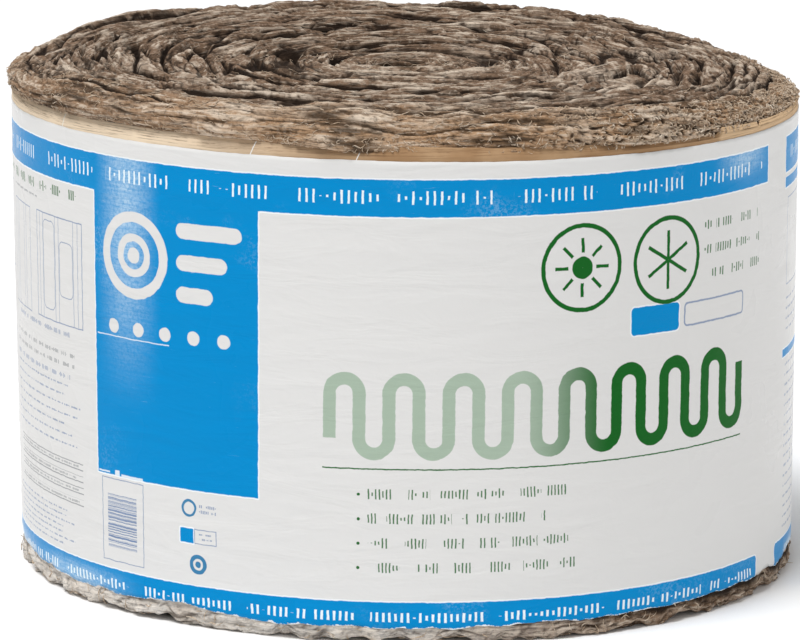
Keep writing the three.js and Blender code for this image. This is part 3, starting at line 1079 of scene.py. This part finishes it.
def makePrintLines():
    # rows of plain strokes of uneven height, in groups, with ragged ends
    tree, given, result = openPrint(
        "printLines", Left=0.0, Right=1.0, Top=0.0, Rows=1.0, Pitch=10.0, Cap=5.0, Stroke=2.0,
        Word=12.0, Ragged=0.0, Share=0.22,
    )

    def chance(number, shift):
        # a different share for each whole number, and for each shift
        mixed = calc("MULTIPLY_ADD", number, 12.9898, shift)
        return calc("FRACT", times(calc("SINE", mixed), 43758.5453))

    down = calc("DIVIDE", minus(given["Top"], given["Height"]), given["Pitch"])
    row = calc("FLOOR", down)
    drop = times(minus(down, row), given["Pitch"])
    seed = plus(row, given["Top"])
    rowShift = times(seed, 78.233)
    run = minus(given["Along"], given["Left"])
    words = plus(calc("DIVIDE", run, given["Word"]), chance(seed, 273.8155))
    word = calc("FLOOR", words)
    place = times(minus(words, word), given["Word"])
    gap = times(calc("MULTIPLY_ADD", chance(word, rowShift), 0.45, 0.12), given["Word"])
    gap = calc("MINIMUM", gap, times(given["Cap"], 1.6))
    strokes = calc("DIVIDE", run, given["Stroke"])
    stroke = calc("FLOOR", strokes)
    beside = minus(apart(minus(strokes, stroke), 0.5), given["Share"])
    short = times(calc("MULTIPLY_ADD", chance(stroke, rowShift), 1.1, -0.55), given["Cap"])
    end = calc("MULTIPLY_ADD", chance(seed, 711.92035), times(given["Ragged"], -1), given["Right"])
    far = most(
        times(beside, given["Stroke"]),
        minus(short, drop),                                 # over a low stroke
        minus(plus(drop, short), given["Cap"]),             # under a high one
        minus(drop, given["Cap"]),                          # between rows
        minus(gap, place),                                  # between groups
        times(run, -1),
        minus(given["Along"], end),
        calc("MULTIPLY_ADD", row, -4.0, -2.0),              # over the first row
        times(minus(row, minus(given["Rows"], 0.5)), 8),    # under the last
    )
    return closeGroup(tree, result, inkWithin(far, 0.25))


printGroups = {
    "bar": makePrintBar(), "ring": makePrintRing(), "star": makePrintStar(), "wave": makePrintWave(),
    "lines": makePrintLines(),
}
print("print groups ready:", ", ".join(printGroups))

# what is printed over the blue: group, its output, marks, tint and strength, from the lowest up
printCoats = [
    ("bar", "Ink", "nicks", "keyline", 0.8),
    ("bar", "Ink", "whiteBars", "body", 1.0),
    ("ring", "Ink", "whiteRings", "body", 1.0),
    ("lines", "Ink", "whiteLines", "white", 1.0),
    ("bar", "Outline", "thinFrames", "thinBlue", 0.7),
    ("lines", "Ink", "thinLines", "thinBlue", 0.7),
    ("lines", "Ink", "greyLines", "grey", 0.7),
    ("ring", "Ink", "badge", "seal", 0.95),
    ("ring", "Ink", "greenRings", "green", 1.0),
    ("star", "Ink", "greenStars", "green", 1.0),
    ("bar", "Ink", "greenBars", "green", 1.0),
    ("lines", "Ink", "greenLines", "green", 0.9),
]


def makeFilmWear():
    # where the thin film has rubbed, its long shallow pulls and its fine crumpling
    tree, given, result = openGroup(
        "filmWear", {"Place": (0.0, 0.0, 0.0), "Along": 0.0, "Height": 0.0},
        ("Wear", "Grain", "Scratches", "Patch", "Relief"),
    )
    place, along, height = given["Place"], given["Along"], given["Height"]
    stretched = joinVector(times(along, 0.05), times(height, 0.6), 0.0)
    scratches = noiseNode(stretched, 1.0, 4.0, 0.7, 0.4)
    grain = noiseNode(place, 420, 3.0, 0.7)
    patch = noiseNode(place, 11, 3.0, 0.6, 0.5)
    wear = times(ramp(patch, 0.55, 0.74), ramp(grain, 0.46, 0.60))
    wear = most(wear, times(ramp(scratches, 0.68, 0.74), 0.8))
    stretched = joinVector(times(along, 0.012), times(height, 0.05), 3.0)
    pulls = noiseNode(stretched, 1.0, 3.0, 0.6, 0.8)
    relief = calc("MULTIPLY_ADD", noiseNode(place, 60, 3.0, 0.6, 0.7), 0.22, pulls)
    relief = calc("MULTIPLY_ADD", scratches, 0.05, relief)
    return closeGroup(tree, result, wear, grain, scratches, patch, relief)


filmWear = makeFilmWear()


def makeFilmMaterial(name, zone):
    material, tree, shader, place = newMaterial(name, 0.3, 0.06)
    along, height = useGroup(printPlace, place, printing["repeat"], printing["start"])
    # the edges of the print are never quite straight
    stray = times(minus(noiseNode(place, 160, 2.0, 0.6), 0.5), 1.3)
    along, height = plus(along, stray), minus(height, stray)
    wear, grain, scratches, patch, relief = useGroup(filmWear, place, along, height)

    def ink(kind, output, marks, join="MAXIMUM"):
        # all the marks of one kind together
        group = printGroups[kind]
        inks = [useGroup(group, along, height, *mark)[output] for mark in zone.get(marks, ())]
        return reduce(lambda a, b: calc(join, a, b), inks) if inks else None

    def over(colour, share, tint, strength=1.0):
        if share is None:
            return colour
        return mixColour(times(share, strength), colour, filmLook[tint])

    colour = filmLook["body"]
    distance = ink("bar", "Distance", "blue", "MINIMUM")
    if distance is not None:
        blue = inkWithin(distance, 0.35)
        # the blue at the foot of the print thins out at one side, in a grainy blend
        paleFoot = times(
            ramp(height, 34, 12), ramp(along, -352, -440), ramp(along, -565, -520),
            ramp(grain, 0.30, 0.55, 0.45, 1.0),
        )
        colour = over(colour, ramp(distance, 1.5, 0.5), "keyline")
        colour = over(colour, times(blue, minus(1.0, paleFoot)), "blue")
        colour = over(colour, times(wear, blue), "scuffAndSheen", 0.22)
        for middle, half, low, high in zone.get("paintedSheen", ()):
            # painted sheen: pale patches where the glossy film reflects the side lamps, broken up by the
            # grain and scratches
            sheenMask = times(
                ramp(apart(along, middle), half, 0.0), ramp(height, low, high),
                ramp(grain, 0.34, 0.60, 0.50, 1.0), ramp(scratches, 0.35, 0.62, 0.55, 1.0), blue,
            )
            colour = over(colour, sheenMask, "scuffAndSheen", 0.75)
        # bare torn film along the lower edge
        torn = noiseNode(place, 190, 3.0, 0.7)
        torn = calc("MULTIPLY_ADD", torn, -6.5, attributeValue(tree, "rise"))
        colour = over(colour, ramp(torn, -2.7, -3.2), "keyline")
    for kind, output, marks, tint, strength in printCoats:
        colour = over(colour, ink(kind, output, marks), tint, strength)
    if "code" in zone:
        # a stack of bars across a box
        bars = ramp(noiseNode(joinVector(0.0, 0.0, height), 0.55, 3.0, 0.9), 0.47, 0.53)
        colour = over(colour, times(ink("bar", "Ink", "code"), bars), "thinBlue", 0.85)
    if "wave" in zone:
        fade = mixColour(ramp(along, 80, 160), filmLook["paleGreen"], filmLook["green"])
        colour = mixColour(ink("wave", "Ink", "wave"), colour, fade)
    coverShader(shader, colour, relief, 0.3, 0.0035)
    rough = calc("MULTIPLY_ADD", wear, 0.25, ramp(patch, 0.3, 0.7, 0.22, 0.36))
    put(shader.inputs["Roughness"], rough)
    return material


def filmProfile(run):
    # up the wrap from its lower edge: a slight curve inwards at the foot, then straight
    hem, sweep = film["hemRadius"], math.radians(film["hemAngle"])
    left = sweep - run / hem
    outer = roll["wrapRadius"] - film["inset"]
    if left > 0:
        return outer - hem * (1 - math.cos(left)), film["hemStart"] - hem * math.sin(left)
    return outer, film["hemStart"] - left * hem


def zoneAt(place):
    # which part of the print a point of the wrap lies in
    along = (alongRoll(place.x, place.y) - printing["start"]) % printing["repeat"] + printing["start"]
    for index, zone in enumerate(zones.values()):
        for left, right, bottom, top in zone["reach"]:
            if left <= along <= right and bottom <= place.z / mm <= top:
                return index
    return 0


def makeFilm(materials):
    bm = bmesh.new()
    rise = bm.verts.layers.float.new("rise")
    length = roll["wrapTop"] - film["hemStart"] + film["hemRadius"] * math.radians(film["hemAngle"])
    start = 100  # any radius will do for the flat ring
    outside = rolledGrid(bm, start, start + length, film["rowHeight"], film["turns"])
    inside = rolledGrid(bm, start, start + length, length / 6, film["turns"])
    joints = [
        loopAt(outside, start) + loopAt(inside, start),
        loopAt(outside, start + length) + loopAt(inside, start + length),
    ]
    for wall, depth in ((outside, 0), (inside, film["thickness"])):
        for vert in wall:
            away = vert.co.xy.normalized()
            vert[rise] = vert.co.xy.length - start
            radius, z = filmProfile(vert[rise])
            x, y = away.x * radius, away.y * radius
            edge = smoothStep(26, 0, z - film["hemStart"] + 8)
            crinkle = folds(x / 90, y / 90, z / 11, 1.5, 2) - 0.5
            radius += film["wrinkle"] * crinkle + edge * 1.5 * wobble(x, y, z, 26, 7.1) - depth
            ragged = 0.5 * wobble(x, y, 0, 50, 2.9) + 0.35 * wobble(x, y, 0, 7, 6.3)
            z += (ragged - 1.3 * smoothStep(-60, 60, x)) * smoothStep(300, 362, z)
            z += edge * (1.6 * wobble(x, y, 0, 17, 5.9) + 1.0 * wobble(x, y, 0, 6, 2.2))
            z += edge * (film["sideLift"] * (x / radius) ** 4 + tableAt(film["edge"], alongRoll(x, y)))
            vert.co = shapeRoll(Vector((away.x * radius, away.y * radius, z)))
    for joint in joints:
        bmesh.ops.bridge_loops(bm, edges=joint)
    bmesh.ops.recalc_face_normals(bm, faces=bm.faces)
    piece = finishPiece("printedFilm", bm, materials[0], "printed_wrap")
    for material in materials[1:]:
        piece.data.materials.append(material)
    for face in piece.data.polygons:
        face.material_index = zoneAt(face.center)
    return piece


wrap = makeFilm([makeFilmMaterial(name, zone) for name, zone in zones.items()])


stage = {
    "floor": (0.93, 0.93, 0.93, 1),
    "floorRadius": 12.0,
    "world": (1.0, 1.0, 1.0, 1),
    "worldStrength": 0.45,
    "lampAim": 0.2,      # height that the lamps are turned to
    # kind, azimuth from the front towards the right, elevation, distance and power; then the
    # spread of the sun in degrees, or the width and height of a panel
    "lamps": {
        "daylight": ("SUN", -45, 70, 0.0, 2.4, 24),
        "frontPanel": ("AREA", 12, 14, 4.2, 14, (2.8, 1.6)),
        "leftStrip": ("AREA", -95, 10, 2.2, 2, (0.45, 1.6)),
        "rightStrip": ("AREA", 112, 12, 2.2, 5, (0.45, 1.6)),
    },
}

camera = {
    "distance": 4.27,
    "elevation": 11.2,
    "roll": 0.57,
    "lens": 244.8,
    "sensor": 36,
    "aimHeight": 0.184,
    "aside": -0.00455,   # the roll stands a little right of the middle
}


def makeStage():
    bm = bmesh.new()
    bmesh.ops.create_circle(bm, cap_ends=True, segments=96, radius=stage["floorRadius"])
    mesh = bpy.data.meshes.new("floor")
    bm.to_mesh(mesh)
    bm.free()
    material = bpy.data.materials.new("floor")
    material.use_nodes = True
    shader = material.node_tree.nodes["Principled BSDF"]
    shader.inputs["Base Color"].default_value = stage["floor"]
    shader.inputs["Roughness"].default_value = 0.9
    mesh.materials.append(material)
    linkObject("floor", mesh)
    world = bpy.data.worlds.new("studio")
    world.use_nodes = True
    back = world.node_tree.nodes["Background"]
    back.inputs["Color"].default_value = stage["world"]
    back.inputs["Strength"].default_value = stage["worldStrength"]
    bpy.context.scene.world = world


def makeLamp(name, kind, azimuth, elevation, distance, power, spread):
    light = bpy.data.lights.new(name, kind)
    light.energy = power
    if kind == "SUN":
        light.angle = math.radians(spread)
    else:
        light.shape = "RECTANGLE"
        light.size, light.size_y = spread
    lamp = linkObject(name, light)
    a, e = math.radians(azimuth), math.radians(elevation)
    away = Vector((math.sin(a) * math.cos(e), -math.cos(a) * math.cos(e), math.sin(e)))
    lamp.location = Vector((0, 0, stage["lampAim"])) + away * distance
    lamp.rotation_euler = away.to_track_quat("Z", "Y").to_euler()


def makeCamera():
    data = bpy.data.cameras.new("camera")
    data.lens = camera["lens"]
    data.sensor_width = camera["sensor"]
    holder = linkObject("camera", data)
    rise = math.radians(camera["elevation"])
    away = Vector((0, -math.cos(rise), math.sin(rise)))
    look = away.to_track_quat("Z", "Y").to_matrix().to_4x4()
    turned = look @ Matrix.Rotation(math.radians(camera["roll"]), 4, "Z")
    spot = Vector((camera["aside"], 0, camera["aimHeight"])) + away * camera["distance"]
    holder.matrix_world = Matrix.Translation(spot) @ turned
    bpy.context.scene.camera = holder


makeStage()
for name, settings in stage["lamps"].items():
    makeLamp(name, *settings)
makeCamera()
bpy.context.scene.view_settings.view_transform = "Standard"
print("stage and camera ready")
